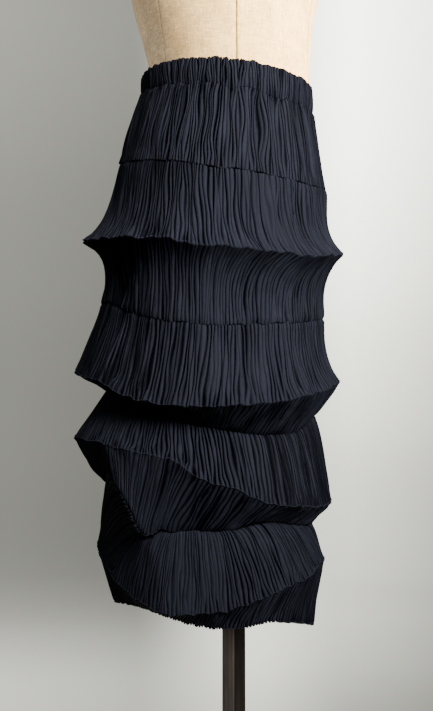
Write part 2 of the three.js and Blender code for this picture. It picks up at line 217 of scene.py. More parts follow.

# The creases. Depths and painted shades are shares of a mean crease's.
ACROSS = (0, 0.08, 0.25, 0.75, 0.92)     # columns over one pleat
CRUSH = 0.24                # how unevenly wide the pleats are
DEPTH_LOG, DEPTH_SPREAD = -0.1, 0.38     # mean and spread of the depths' logarithm
BOLD, BOLD_SHARE = 1.6, 0.22     # how much deeper the bold creases are, and how many
SWAY = 0.32                 # how much a crease's depth varies down its strip
FADE, FADING_SHARE = 0.75, 0.3   # how much a crease fades part of the way, and how many
FADE_LENGTH = 0.12          # share of a strip, each way, over which it fades
FADE_ENDS = (0.15, 0.85)    # how far down the strip that may be
SHALLOWEST, DEEPEST = 0.12, 2.3  # the limits of a crease's depth
SEAM_DEEPEST = 2.1          # the deepest beside a seam, where the form is close behind
FAINTEST, DARKNESS = 0.5, 1.2    # the least shade of a crease, and a mean one's
LIFT = 0.45                 # share of a crease's depth by which its pleat stands out
CROWN = 0.5                 # how far a pleat falls away from its crest
CRESTS = (0.22, 0.78)       # how far across its pleat a crest may lie
CREST_SWAY = 0.13           # how far it strays from the middle
SLOTS = (0.12, 0.2)         # how far into its pleat a crease reaches
TILT, TILT_SWAY = 0.45, 0.2      # how far a pleat lies over to a side, and how it varies

# How far the pleats wander sideways: each on its own against all together, along the
# waistband's seam, and along a ridge or hem.
OWN_WANDER, WAIST_WANDER, EDGE_WANDER = 0.8, 0.3, 0.12

# How the pleats change beside a seam or ridge, over shares of the strip.
SEAM_GATHERS = (1.9, 0.2)   # depth of a strip's gathered creases, and of those between
WAIST_GATHERS = (1.7, 0.4)  # and of the waistband's
GATHER_SHARE = 0.22         # over which the gathers die away
PINCH, PINCH_SHARE = 0.75, 0.07  # the most that a seam deepens its creases, and over what
WAIST_SHARE = 0.12          # over which the yoke's pleats are the waistband's
RIDGE_SHARE = 0.78          # from here out a strip's pleats are those of its ridge
HEM_SHARE = 0.88            # and from here down the hem's teeth begin

# Lengths beside a seam, and sizes of its stitching and of the edges.
SEAM_REACH = 2.4            # over which the seam pulls the cloth in
# Painted shade: the creases are painted darker beside a seam, over this reach.
SEAM_SHADE_REACH = 14.0          # over which it darkens the creases
PUCKER_START, PUCKER_REACH = 3, 7     # over which its puckers begin, and die away
SWELL_START = 12            # over which the cloth's swells begin
STRAY_REACH = 9             # over which the cloth strays up and down with its seam
WAIST_STRAY = 2.8           # how much more the waistband's seam strays than the others
STEP_SHARE = 0.35           # how much of a ridge's jitter a seam or the hem shows
JITTER_STEP = 0.55          # how far a ridge steps up or down from pleat to pleat
ALLOWANCE = 3.0             # turned in at a seam
ALLOWANCE_DROP = 2.0        # how far it drops there, so that no light passes the seam
EDGE_SIDES = 6              # faces round a rolled edge
HEM_TOOTH = 2.6             # depth of the hem's teeth, one to a pleat

# Uneven waves in the cloth: their height, the fewest and the most of them round the
# skirt, and the most of them down a strip.
Waves = namedtuple("Waves", "height fewest most down")
WANDER = Waves(1.0, 9, 40, 0.7)
JITTER = Waves(0.7, 14, 60, 0)
STRAY = Waves(0.55, 6, 34, 0)
PUCKER = Waves(1.0, 30, 75, 0.3)
SWELL = Waves(0.6, 9, 26, 0.8)
EDGE_SWELL = SWELL._replace(down=0)

ONE_ROW = np.zeros((1, 1))  # for creases that run straight down, as along an edge

# Seeds of the random draws. Those of the second row are added to a strip's or a ring's.
WIDTH_SEED, GATHER_SEED, RING_SEED, STRIP_SEED, BAND_SEED = 7, 31, 40, 100, 900
WANDER_SEED, SWELL_SEED, PUCKER_SEED, JITTER_SEED = 7, 30, 60, 500

# The casing of the waistband, by shares of the way up it. Its edge rolls inwards over
# the top in steps, each so far in and so far up, and its inner face hangs flat behind.
CASING_ROWS = (0, 0.03, 0.1, 0.25, 0.45, 0.65, 0.82, 0.93, 1.0)
CASING_THICK = 3.2
CASING_ROLL = ((0.9, 0.9), (2.0, 0.9), (CASING_THICK, -0.6))
CASING_INSIDE = (0.8, 0.4, 0.05)
# Painted shade: the rolled edge keeps part of the top's crease shade, and the inside of the casing
# is painted evenly dark.
CASING_SHADES = (0.5, 0.3)  # shade of the rolled edge, against the top's, and inside
BAND_DEPTH = 2.4            # depth of the waistband's mean crease
BAND_DARKNESS = 1.25        # how dark its creases are
BAND_WANDER = 0.25          # how far its pleats wander
BAND_SHARE = 0.4            # over which its pleats are its seam's
BAND_PINCH, BAND_PINCH_REACH = 0.5, 3     # how far its seam draws it in, and how far up
BAND_BELLY = 0.8            # how far it fills out between seam and top
BAND_TEETH = 0.6            # how far its top edge dips into its creases
BAND_TEETH_SHARE = 0.7      # and from here up

# Each row is a section of the padded form, underside first.
Section = namedtuple("Section", "z half_width half_depth centre_x centre_y")
FORM = (
    Section(752, 134, 102, 0, 16),
    Section(800, 140, 107, 0, 16),
    Section(855, 141, 108, 0, 14),
    Section(918, 135, 105, 0, 11),
    Section(965, 124, 99, 0, 7.5),
    Section(1005, 116, 94.7, 1, 5.5),
    Section(1045, 115.5, 94.5, 2, 4.5),
    Section(1080, 119.5, 97.5, -1, 7),
    Section(1147, 134, 107, -5, 11),
    Section(1215, 146, 117, -3, 4),
    Section(1290, 158, 112, 0, 8),
    Section(1350, 168, 99, 0, 15),
    Section(1393, 166, 84, 0, 17),
    Section(1420, 138, 70, 0, 17),
    Section(1445, 88, 60, 0, 13),
    Section(1465, 61, 54, 0, 9),
    Section(1487, 54, 52, 0, 6),
    Section(1510, 52, 52, 0, 5),
)

# The cover's seams: where each crosses the waist, and how dark it is. Up from the waist
# they draw together towards the front, by these degrees at these heights.
PanelSeam = namedtuple("PanelSeam", "bearing shade")
PANEL_SEAMS = (
    PanelSeam(0, 0.12),
    *(PanelSeam(side * bearing, shade) for side in (-1, 1)
      for bearing, shade in ((36, 1.0), (92, 0.22), (140, 0.5))),
    PanelSeam(180, 0.5),
)
SEAM_DRIFT = ((752, 1045, 1115, 1300, 1420, 1510), (0, 0, 7, 7, 2, 0))
SEAM_TINT = (0.16, 0.17, 0.17, 1)   # what a seam makes of the linen's colour
SEAM_SHADOW = 0.45          # degrees each way over which it darkens

# The dents beside a seam: how high each is, and how many degrees off it lies and reaches.
Dent = namedtuple("Dent", "height away spread")
GROOVE = (Dent(-0.9, 0, 0.3), Dent(0.25, 1, 0.7))
FAINT_GROOVE = 0.3          # how deep they are at a seam that doesn't show

FORM_ROW = 11               # between rows of the cover
FORM_COLUMN = 4             # degrees between its columns
SEAM_COLUMNS = (-1.3, -0.4, 0, 0.4, 1.3)     # and from a seam to the columns beside it
ARM_FACE_X = 152            # where the flat faces for the arm plates lie


# ---- settings ------------------------------------------------------------------
class SKIRT_PG_cloth(bpy.types.PropertyGroup):
    pleats: IntProperty(name="Pleats", description="Pleats round the skirt", default=200, min=20)
    depth: FloatProperty(
        name="Pleat depth", description="Mean depth of a crease", default=3.0 * MM, unit="LENGTH")
    thickness: FloatProperty(
        name="Cloth", description="Thickness of the cloth", default=0.6 * MM, unit="LENGTH")
    edge: FloatProperty(
        name="Rolled edge", description="Radius of the rolled edges", default=0.75 * MM,
        unit="LENGTH")
    colour: FloatVectorProperty(
        name="Cloth colour", description="Colour of the pleat tops", subtype="COLOR",
        default=(0.0082, 0.0091, 0.0138), size=3, min=0, max=1)
    # Painted shade: the colour that the cloth is darkened to down in its creases, where the shade
    # falls.
    crease_shade_colour: FloatVectorProperty(
        name="Crease colour", description="Colour down in the creases", subtype="COLOR",
        default=(0.0009, 0.0010, 0.0025), size=3, min=0, max=1)


class SKIRT_PG_form(bpy.types.PropertyGroup):
    linen: FloatVectorProperty(
        name="Linen", description="Colour of the linen cover", subtype="COLOR",
        default=(0.86, 0.62, 0.37), size=3, min=0, max=1)
    aged: FloatVectorProperty(
        name="Aged linen", description="Colour of the linen's yellowed patches", subtype="COLOR",
        default=(0.74, 0.47, 0.24), size=3, min=0, max=1)
    thread: FloatProperty(
        name="Thread", description="Pitch of the linen's threads", default=1.7 * MM, unit="LENGTH")
    steel: FloatVectorProperty(
        name="Steel", description="Colour of the dark steel", subtype="COLOR",
        default=(0.020, 0.020, 0.020), size=3, min=0, max=1)
    rubbed: FloatVectorProperty(
        name="Rubbed steel", description="Colour of the steel's rubbed streaks", subtype="COLOR",
        default=(0.060, 0.042, 0.031), size=3, min=0, max=1)


class SKIRT_PG_stage(bpy.types.PropertyGroup):
    key: FloatProperty(
        name="Key light", description="Power of the large soft light", default=185, unit="POWER")
    form: FloatProperty(
        name="Form light", description="Power of the light on the form", default=240, unit="POWER")
    fill: FloatProperty(name="Fill", description="Strength of the room's light", default=1.0, min=0)
    floor: FloatVectorProperty(
        name="Floor", description="Colour of the pale floor", subtype="COLOR",
        default=(0.62, 0.61, 0.58), size=3, min=0, max=1)
    lens: FloatProperty(name="Lens", description="Focal length in millimetres", default=55.62)


# ---- rings and strips ------------------------------------------------------------
def around(values, bearing):
    """A smooth closed curve through evenly spaced values."""
    count = len(values)
    place = np.mod(bearing, 360) / (360 / count)
    i = np.floor(place).astype(int)
    f = place - i
    a, b, c, d = (np.take(values, (i + k) % count) for k in (-1, 0, 1, 2))
    return b + 0.5 * f * (c - a + f * (2 * a - 5 * b + 4 * c - d + f * (3 * (b - c) + d - a)))


def apart(bearing, other):
    """Degrees from one bearing to another, the short way round."""
    return np.mod(bearing - other + 180, 360) - 180


def outwards(bearing):
    turn = np.radians(bearing)
    return np.stack([np.sin(turn), -np.cos(turn), np.zeros_like(turn)], -1)


def ring_point(name, bearing):
    ring = RINGS[name]
    height = around(HEIGHTS[name], bearing)
    push = np.zeros_like(height)
    for fold in FOLDS:
        if fold.ring == name:
            share = np.exp(-((apart(bearing, fold.bearing) / fold.spread) ** 2))
            height = height + fold.lift * share
            push = push + fold.push * share
    turn = np.radians(bearing)
    x = ring.centre_x + (ring.half_width + push) * np.sin(turn)
    y = ring.centre_y - (ring.half_depth + push) * np.cos(turn)
    return np.stack([x, y, height], -1)


def flares(strip):
    """Whether a strip widens downwards, from its seam at the top to its ridge."""
    return RINGS[strip.bottom].half_width >= RINGS[strip.top].half_width


def lerp(a, b, share):
    return a + (b - a) * share


def strip_point(strip, start, down):
    """The mean surface of a strip, down from 0 at its top ring to 1 at its bottom."""
    lean = np.interp(start, *LEANS[strip.name], period=360)
    top_bearing = start + (lean if flares(strip) else 0)
    low_bearing = start + (0 if flares(strip) else lean)
    a = ring_point(strip.top, top_bearing)
    b = ring_point(strip.bottom, low_bearing)
    bearing = lerp(top_bearing, low_bearing, down)
    from_seam = down if flares(strip) else 1 - down
    curl, sink = (
        np.interp(bearing, STRIP_BEARINGS, column, period=360)
        for column in (strip.curl, strip.sink))
    across = from_seam ** curl
    across = across if flares(strip) else 1 - across
    drawn = sink * 4 * from_seam * (1 - from_seam)
    for arris in ARRISES:
        if arris.strip == strip.name:
            away = np.abs(apart(bearing, np.interp(down, ARRIS_SHARES, arris.bearings)))
            drawn = drawn - lerp(*arris.pushes, down) * np.exp(-away / arris.spread)
    point = lerp(a, b, across[..., None]) - drawn[..., None] * outwards(bearing)
    point[..., 2] = lerp(a[..., 2], b[..., 2], down) - SEAM_GAP * (0.5 - down)
    return point, bearing


def strip_normal(strip, start, down):
    """Outward normals of the mean surface."""
    step = 0.004
    low, high = np.clip(down - step, 0.002, 0.998), np.clip(down + step, 0.002, 0.998)
    along = strip_point(strip, start, high)[0] - strip_point(strip, start, low)[0]
    round_it = strip_point(strip, start + 0.5, down)[0] - strip_point(strip, start - 0.5, down)[0]
    normal = np.cross(along, round_it)
    return normal / np.linalg.norm(normal, axis=-1, keepdims=True)




# ---- pleats ----------------------------------------------------------------------
def smooth(low, high, value):
    share = np.clip((value - low) / (high - low), 0, 1)
    return share * share * (3 - 2 * share)


def ripple(seed, waves, terms=11):
    """Uneven waves that close round the skirt."""
    draw = np.random.default_rng(seed)
    m = draw.integers(waves.fewest, waves.most + 1, terms)
    q = draw.uniform(-waves.down, waves.down, terms)
    phase = draw.uniform(0, 2 * math.pi, terms)

    def height(share, down):
        total = sum(
            np.sin(2 * math.pi * (m[j] * share + q[j] * down) + phase[j]) for j in range(terms))
        return waves.height * (total * math.sqrt(2 / terms))

    return height


def strands(draw, count, down, slow, quick, terms=3):
    """Uneven waves down the cloth, one column for each of count creases."""
    rate = draw.uniform(slow, quick, (terms, 1, count))
    phase = draw.uniform(0, 2 * math.pi, (terms, 1, count))
    return np.sin(2 * math.pi * rate * down + phase).sum(0) * math.sqrt(2 / terms)


def crease_starts(count):
    """Where each pleat starts, as uneven shares of the way round."""
    draw = np.random.default_rng(WIDTH_SEED)
    width = np.exp(draw.normal(0, CRUSH, count))
    return np.concatenate([[0], np.cumsum(width)]) / width.sum()


def gathered(count):
    """Which creases the gathers at a seam deepen. The others grow faint there."""
    step = np.random.default_rng(GATHER_SEED).choice((1, 2, 2, 3), count)
    deep = np.zeros(count, bool)
    deep[np.cumsum(step)[np.cumsum(step) < count]] = True
    return deep


class Pleats:
    """The creases over one strip: a row of values for each row of down, which is a column."""

    def __init__(self, seed, count, down, wander):
        draw = np.random.default_rng(seed)
        self.shift = OWN_WANDER * wander * strands(draw, count, down, slow=0.4, quick=1.8)
        share = np.arange(count) / count
        together = ripple(seed + WANDER_SEED, WANDER)
        self.shift += wander * together(share, down)
        main = np.exp(draw.normal(DEPTH_LOG, DEPTH_SPREAD, count))
        main = main * np.where(draw.random(count) < BOLD_SHARE, BOLD, 1)
        self.depth = main * (1 + SWAY * strands(draw, count, down, slow=0.2, quick=1.3))
        fades = draw.random(count) < FADING_SHARE
        end = draw.uniform(*FADE_ENDS, count)
        side = draw.choice((-1, 1), count)
        fade = 1 - FADE * smooth(-FADE_LENGTH, FADE_LENGTH, side * (down - end))
        self.depth = np.clip(self.depth * np.where(fades, fade, 1), SHALLOWEST, DEEPEST)
        sway = CREST_SWAY * strands(draw, count, down, slow=0.2, quick=1.0)
        self.crest = np.clip(0.5 + sway, *CRESTS)
        self.slot = draw.uniform(*SLOTS, count) + 0 * down
        self.tilt = TILT * draw.normal(0, 1, count)
        self.tilt = self.tilt + TILT_SWAY * strands(draw, count, down, slow=0.3, quick=1.2)

    def blended(self, other, share):
        """Makes these creases the other's, by a share."""
        for name in ("shift", "depth", "crest", "slot", "tilt"):
            setattr(self, name, lerp(getattr(self, name), getattr(other, name), share))


# The columns of a sheet, closed round the skirt: the pleat that each lies in, its place
# in the pleat, and its share of the way round.
Columns = namedtuple("Columns", "pleat place share")


def columns_round(count):
    """The columns of a sheet with this many pleats."""
    starts = crease_starts(count)
    pleat = np.append(np.repeat(np.arange(count), len(ACROSS)), 0)
    place = np.append(np.tile(ACROSS, count), 0.0)
    share = starts[pleat] + place * np.diff(starts)[pleat]
    share[-1] = 1.0
    return Columns(pleat, place, share)


def pleat_relief(pleats, columns):
    """Depth of each column below the pleat tops, and the painted shade that the creases beside it
    give it.
    """
    k, u = columns.pleat, columns.place
    after = (k + 1) % pleats.depth.shape[1]
    crest = pleats.crest[:, k]
    left = u / (2 * crest * pleats.slot[:, k])
    right = (1 - u) / (2 * (1 - crest) * pleats.slot[:, after])
    near, far = pleats.depth[:, k], pleats.depth[:, after]
    depth = near * np.exp(-left ** 1.5) + far * np.exp(-right ** 1.5)
    # Painted shade, darkest down at the bottom of each crease.
    dark, far_dark = np.maximum(near, FAINTEST), np.maximum(far, FAINTEST)
    shade = dark * np.exp(-left ** 2) + far_dark * np.exp(-right ** 2)
    face = CROWN * (u - crest) ** 2 + np.where(u > 0, pleats.tilt[:, k] * (u - 0.5), 0)
    return depth + face, np.clip(DARKNESS * shade, 0, 1)


def column_bearings(pleats, columns):
    """The bearing of each column, moved aside with the creases that it lies between."""
    count = pleats.shift.shape[1]
    after = (columns.pleat + 1) % count
    shift = lerp(pleats.shift[:, columns.pleat], pleats.shift[:, after], columns.place)
    return 360 * columns.share + shift * 360 / count


def ring_seed(name):
    return RING_SEED + list(RINGS).index(name)


def strip_seed(strip):
    return STRIP_SEED + [row.name for row in STRIPS].index(strip.name)


def ring_jitter(name, columns):
    """How far the edge of a ridge or hem rises and falls."""
    draw = np.random.default_rng(ring_seed(name) + JITTER_SEED)
    count = columns.pleat.max() + 1
    steps = draw.normal(0, JITTER_STEP, count)
    steps = lerp(steps[columns.pleat], steps[(columns.pleat + 1) % count], columns.place)
    return steps + ripple(ring_seed(name), JITTER)(columns.share, 0)


def seam_stray(name, columns):
    """How far a line of stitching strays up and down."""
    wave = ripple(ring_seed(name), STRAY)(columns.share, 0)
    stray = wave + STEP_SHARE * ring_jitter(name, columns)
    return WAIST_STRAY * stray if name == "waistSeam" else stray


def waist_pleats(count):
    """The creases along the waistband's seam, which the yoke shares."""
    return Pleats(ring_seed("waistSeam"), count, ONE_ROW, WAIST_WANDER)


def sheet_rows(count):
    """Rows from one ring to the other, closer together towards both."""
    return 0.5 - 0.5 * np.cos(math.pi * np.linspace(0, 1, count))


def patched(name, bearing):
    """Shares of the relief and of the creases' painted shade that a strip's patches leave."""
    pressed, shade = np.ones_like(bearing), np.ones_like(bearing)
    for patch in PATCHES:
        if patch.strip == name:
            here = np.exp(-((apart(bearing, patch.bearing) / patch.spread) ** 2))
            pressed -= patch.flatter * here
            shade -= patch.paler * here
    return pressed, shade


def strip_pleats(strip, ridge, count, down, from_seam):
    """The creases of a strip, gathered at its seam and shared with its ridge."""
    lie = LIES[strip.name]
    pleats = Pleats(strip_seed(strip), count, down, lie.wander)
    edge = Pleats(ring_seed(ridge), count, ONE_ROW, EDGE_WANDER)
    pleats.blended(edge, smooth(RIDGE_SHARE, 1, from_seam))
    if strip.top == "waistSeam":
        pleats.blended(waist_pleats(count), np.exp(-from_seam / WAIST_SHARE))
    pinch = min(PINCH, lie.gather)
    pleats.depth = pleats.depth * (1 + pinch * np.exp(-from_seam / PINCH_SHARE))
    seam_side = np.exp(-from_seam / GATHER_SHARE)
    gathers = np.where(gathered(count), *SEAM_GATHERS)
    pleats.depth = pleats.depth * lerp(1, gathers, lie.gather * seam_side)
    pleats.depth = np.minimum(pleats.depth, lerp(DEEPEST, SEAM_DEEPEST, seam_side))
    return pleats


def strip_waves(strip, ridge, columns, down, from_seam, length):
    """How far a strip's seam draws it in, and how high its puckers and its swells are."""
    lie = LIES[strip.name]
    beside = from_seam * length
    dip = lie.dip * np.exp(-((beside / SEAM_REACH) ** 2))
    pucker = ripple(strip_seed(strip) + PUCKER_SEED, PUCKER)(columns.share, down)
    pucker = lie.puckers * pucker * np.exp(-beside / PUCKER_REACH)
    pucker = pucker * smooth(0, PUCKER_START, beside)
    swell = ripple(strip_seed(strip) + SWELL_SEED, SWELL)(columns.share, down)
    edge_swell = ripple(ring_seed(ridge) + SWELL_SEED, EDGE_SWELL)(columns.share, 0)
    swell = lerp(swell, edge_swell, smooth(RIDGE_SHARE, 1, from_seam))
    return dip, pucker, swell * smooth(0, SWELL_START, beside)


def strip_strays(strip, ridge, columns, down, from_seam, length):
    """How far a strip's rows stray up and down with its seams, its ridge and its hem."""
    seam = strip.top if flares(strip) else strip.bottom
    if seam.startswith(("seam", "waist")):
        yield seam_stray(seam, columns) * np.exp(-from_seam * length / STRAY_REACH)
    if strip.name == "yoke":
        yield seam_stray("seam1", columns) * np.exp(-(1 - from_seam) * length / STRAY_REACH)
    if ridge.startswith("ridge"):
        yield ring_jitter(ridge, columns) * smooth(RIDGE_SHARE, 1, from_seam) ** 2
    if strip.bottom == "hem":
        tooth = np.sin(math.pi * columns.place) - 0.5
        fall = STEP_SHARE * ring_jitter("hem", columns) - HEM_TOOTH * tooth
        yield fall * smooth(HEM_SHARE, 1, down)


def strip_sheet(strip, settings):
    """Points and painted crease shade of a pleated strip, lowest row first."""
    lie = LIES[strip.name]
    columns = columns_round(settings.pleats)
    down = sheet_rows(lie.rows)[::-1, None]
    from_seam = down if flares(strip) else 1 - down
    ridge = strip.bottom if flares(strip) else strip.top
    pleats = strip_pleats(strip, ridge, settings.pleats, down, from_seam)
    start = column_bearings(pleats, columns)
    grid_down = down + 0 * start
    mean, bearing = strip_point(strip, start, grid_down)
    normal = strip_normal(strip, start, np.clip(grid_down, 0.01, 0.99))
    # Towards its two rings the relief turns straight outwards, to meet the next strip's.
    ends = (np.abs(2 * grid_down - 1) ** 5)[..., None]
    out = lerp(normal, outwards(bearing), ends)
    out /= np.linalg.norm(out, axis=-1, keepdims=True)
    length = np.linalg.norm(np.diff(mean, axis=0), axis=-1).mean(1).sum()
    depth, crease = pleat_relief(pleats, columns)
    pressed, shade = patched(strip.name, bearing)
    relief = pressed * settings.depth / MM * lie.depth * (LIFT - depth)
    dip, pucker, swell = strip_waves(strip, ridge, columns, down, from_seam, length)
    relief = relief - dip + pucker + swell
    # Painted shade beside the seam, where the gathered creases lie in shadow.
    seam_shade = 1 + lie.gather * np.exp(-from_seam * length / SEAM_SHADE_REACH)
    crease = lie.shade * shade * seam_shade * crease
    point = mean + relief[..., None] * out
    for stray in strip_strays(strip, ridge, columns, down, from_seam, length):
        point[..., 2] += stray
    return point, crease


def rolled_edge(lines, settings):
    """A thin tube along the middle of the given lines of points."""
    line = np.mean(lines, axis=0)
    side = line - line.mean(axis=0)
    side[:, 2] = 0
    side /= np.linalg.norm(side, axis=1, keepdims=True)
    turn = np.linspace(0, 2 * math.pi, EDGE_SIDES + 1)
    radius = settings.edge / MM
    rows = [
        line + radius * (math.cos(t) * side + math.sin(t) * np.array([0, 0, 1])) for t in turn]
    return np.array(rows)


def turned_in(points, crease, strip):
    """The sheet with an allowance turned in along each of its seams."""
    for ring, row in ((strip.bottom, 0), (strip.top, -1)):
        if not ring.startswith(("seam", "waist")):
            continue
        edge = points[row]
        inwards = np.array([RINGS[ring].centre_x, RINGS[ring].centre_y]) - edge[:, :2]
        inwards /= np.linalg.norm(inwards, axis=1, keepdims=True)
        fold = edge.copy()
        fold[:, :2] += ALLOWANCE * inwards
        fold[:, 2] -= ALLOWANCE_DROP
        place = 0 if row == 0 else len(points)
        points = np.insert(points, place, fold, axis=0)
        # Painted shade: the turned-in allowance is painted as dark as the bottom of a crease.
        crease = np.insert(crease, place, np.ones(crease.shape[1]), axis=0)
    return points, crease


# ---- meshes ------------------------------------------------------------------------
def deselect():
    if bpy.context.mode != "OBJECT":
        bpy.ops.object.mode_set(mode="OBJECT")
    bpy.ops.object.select_all(action="DESELECT")


def only(piece):
    deselect()
    piece.select_set(True)
    bpy.context.view_layer.objects.active = piece


def grid_piece(name, points, mask_name, values):
    """A flat grid laid out as rows of points, closed round its side seam, with a mask."""
    deselect()
    rows, columns = points.shape[:2]
    bpy.ops.mesh.primitive_grid_add(x_subdivisions=columns - 1, y_subdivisions=rows - 1, size=1)
    piece = bpy.context.object
    piece.name = piece.data.name = name
    mesh = piece.data
    flat = np.empty(len(mesh.vertices) * 3)
    mesh.vertices.foreach_get("co", flat)
    flat = flat.reshape(-1, 3)
    column = np.rint((flat[:, 0] + 0.5) * (columns - 1)).astype(int)
    row = np.rint((flat[:, 1] + 0.5) * (rows - 1)).astype(int)
    mesh.vertices.foreach_set("co", (points[row, column] * MM).ravel())
    mask = mesh.attributes.new(mask_name, "FLOAT", "POINT")
    mask.data.foreach_set("value", values[row, column].astype(np.float32))
    mesh.update()
    only(piece)
    bpy.ops.object.mode_set(mode="EDIT")
    bpy.ops.mesh.select_all(action="SELECT")
    bpy.ops.mesh.remove_doubles(threshold=1e-6)
    bpy.ops.mesh.normals_make_consistent(inside=False)
    bpy.ops.object.mode_set(mode="OBJECT")
    bpy.ops.object.shade_smooth()
    return piece


def thicken(piece, thickness):
    """Gives a sheet its thickness, inwards."""
    shell = piece.modifiers.new("Cloth thickness", "SOLIDIFY")
    shell.thickness = thickness
    shell.offset = -1
    shell.use_even_offset = False
    only(piece)
    bpy.ops.object.modifier_apply(modifier=shell.name)


def dress(piece, material):
    piece.data.materials.clear()
    piece.data.materials.append(material)
    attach(piece, "root")
    return piece


# ---- materials ---------------------------------------------------------------------
class Nodes:
    """Adds nodes to a tree and links them, a column further right each time."""

    def __init__(self, tree):
        self.tree = tree
        self.x = -900

    def give(self, node, values):
        """Sets a node's inputs, and links those that are given a socket."""
        for socket, value in values.items():
            if isinstance(value, bpy.types.NodeSocket):
                self.tree.links.new(value, node.inputs[socket])
            else:
                node.inputs[socket].default_value = value

    def add(self, kind, values=(), **settings):
        node = self.tree.nodes.new(kind)
        node.location = (self.x, 0)
        self.x += 180
        for name, value in settings.items():
            setattr(node, name, value)
        self.give(node, dict(values))
        return node

    def product(self, first, *others):
        """The values multiplied together."""
        for other in others:
            first = self.add("ShaderNodeMath", {0: first, 1: other}, operation="MULTIPLY").outputs[0]
        return first

    def between(self, value, low, high, at_low=0, at_high=1, easing="LINEAR"):
        """A value that runs from at_low to at_high as the given one does from low to high."""
        ends = {"From Min": low, "From Max": high, "To Min": at_low, "To Max": at_high}
        node = self.add("ShaderNodeMapRange", {"Value": value, **ends}, interpolation_type=easing)
        return node.outputs["Result"]

    def mixed(self, share, first, second, blend_type="MIX"):
        """The second colour over the first, by a share."""
        colours = {6: first, 7: second}     # the sockets that a mix of colours reads
        node = self.add(
            "ShaderNodeMix", {0: share, **colours}, data_type="RGBA", blend_type=blend_type)
        return node.outputs[2]

    def toned(self, colour, tone):
        """A colour made paler or darker by a value."""
        node = self.add("ShaderNodeVectorMath", {0: colour, "Scale": tone}, operation="SCALE")
        return node.outputs["Vector"]

    def streaks(self, place, scale, low, high):
        """Uneven streaks, this many to the metre each way, as a value from low to high."""
        values = {"Vector": place, "Scale": scale, "Low": low, "High": high}
        return self.add("ShaderNodeGroup", values, node_tree=streaks_group()).outputs["Value"]

    def bump(self, height, strength, distance):
        values = {"Height": height, "Strength": strength, "Distance": distance}
        return self.add("ShaderNodeBump", values).outputs["Normal"]


def new_material(name):
    """A material, its nodes, its shader and the place of a point on its piece."""
    material = bpy.data.materials.new(name)
    material.use_nodes = True
    material.node_tree.nodes.clear()
    nodes = Nodes(material.node_tree)
    shader = nodes.add("ShaderNodeBsdfPrincipled")
    nodes.add("ShaderNodeOutputMaterial", {"Surface": shader.outputs["BSDF"]})
    place = nodes.add("ShaderNodeTexCoord").outputs["Object"]
    return material, nodes, shader, place


def rgba(colour):
    return (*colour[:3], 1)


def streaks_group():
    """The group that every material's streaks, threads and patches come from."""
    name = "Streaks"
    if name in bpy.data.node_groups:
        return bpy.data.node_groups[name]
    group = bpy.data.node_groups.new(name, "ShaderNodeTree")
    inputs = {"Vector": "Vector", "Scale": "Vector", "Low": "Float", "High": "Float"}
    for socket, kind in inputs.items():
        group.interface.new_socket(socket, in_out="INPUT", socket_type="NodeSocket" + kind)
    group.interface.new_socket("Value", in_out="OUTPUT", socket_type="NodeSocketFloat")
    nodes = Nodes(group)
    given = nodes.add("NodeGroupInput").outputs
    stretched = nodes.add(
        "ShaderNodeMapping", {"Vector": given["Vector"], "Scale": given["Scale"]})
    noise = nodes.add(
        "ShaderNodeTexNoise", {"Vector": stretched.outputs["Vector"], "Scale": 1.0, "Detail": 3.0})
    value = nodes.between(noise.outputs["Fac"], 0.3, 0.7, given["Low"], given["High"])
    nodes.add("NodeGroupOutput", {"Value": value})
    return group


def pleated_cloth(settings):
    """The one cloth of the waistband and the strips, with painted shade down in its creases."""
    name = "Pleated cloth"
    if name in bpy.data.materials:
        return bpy.data.materials[name]
    material, nodes, shader, place = new_material(name)
    crease = nodes.add("ShaderNodeAttribute", attribute_name="crease").outputs["Fac"]
    lengthways = nodes.add("ShaderNodeUVMap").outputs["UV"]
    # Lengthways crinkle streaks set the tone, the roughness and the bump alike, so the raised
    # crinkles are paler: partly random tone, partly a painted highlight on them.
    crinkle = (900, 9, 1)
    tone = nodes.streaks(lengthways, crinkle, 0.72, 1.25)
    cast = nodes.streaks(place, (14, 14, 14), 0.88, 1.1)
    # Painted shade: the crease mask darkens the cloth towards the crease shade colour.
    dark = nodes.between(crease, 0.04, 0.6, easing="SMOOTHSTEP")
    colour = nodes.mixed(dark, rgba(settings.colour), rgba(settings.crease_shade_colour))
    nodes.give(shader, {
        "Base Color": nodes.toned(colour, nodes.product(tone, cast)),
        "Roughness": nodes.streaks(lengthways, crinkle, 0.6, 0.78),
        "Specular IOR Level": 0.03,
        "Normal": nodes.bump(nodes.streaks(lengthways, crinkle, 0, 1), 0.5, 0.32 * MM),
    })
    return material


def linen_material(settings):
    """Natural linen, aged in patches, with dark seams."""
    material, nodes, shader, place = new_material("Linen")
    seam = nodes.add("ShaderNodeAttribute", attribute_name="seam").outputs["Fac"]
    across = 1 / settings.thread
    along = across / 6
    weft = nodes.streaks(place, (along, along, across), 0.78, 1.12)
    warp = nodes.streaks(place, (across, across, along), 0.76, 1.14)
    mottle = nodes.streaks(place, (40, 40, 40), 0.84, 1.1)
    worn = nodes.streaks(place, (19, 19, 26), 0, 0.55)
    woven = nodes.product(weft, warp)
    cloth = nodes.mixed(worn, rgba(settings.linen), rgba(settings.aged))
    sewn = nodes.mixed(seam, cloth, SEAM_TINT, "MULTIPLY")
    nodes.give(shader, {
        "Base Color": nodes.toned(sewn, nodes.product(woven, mottle)),
        "Roughness": 0.85,
        "Specular IOR Level": 0.2,
        "Normal": nodes.bump(woven, 0.35, 0.4 * MM),
    })
    return material


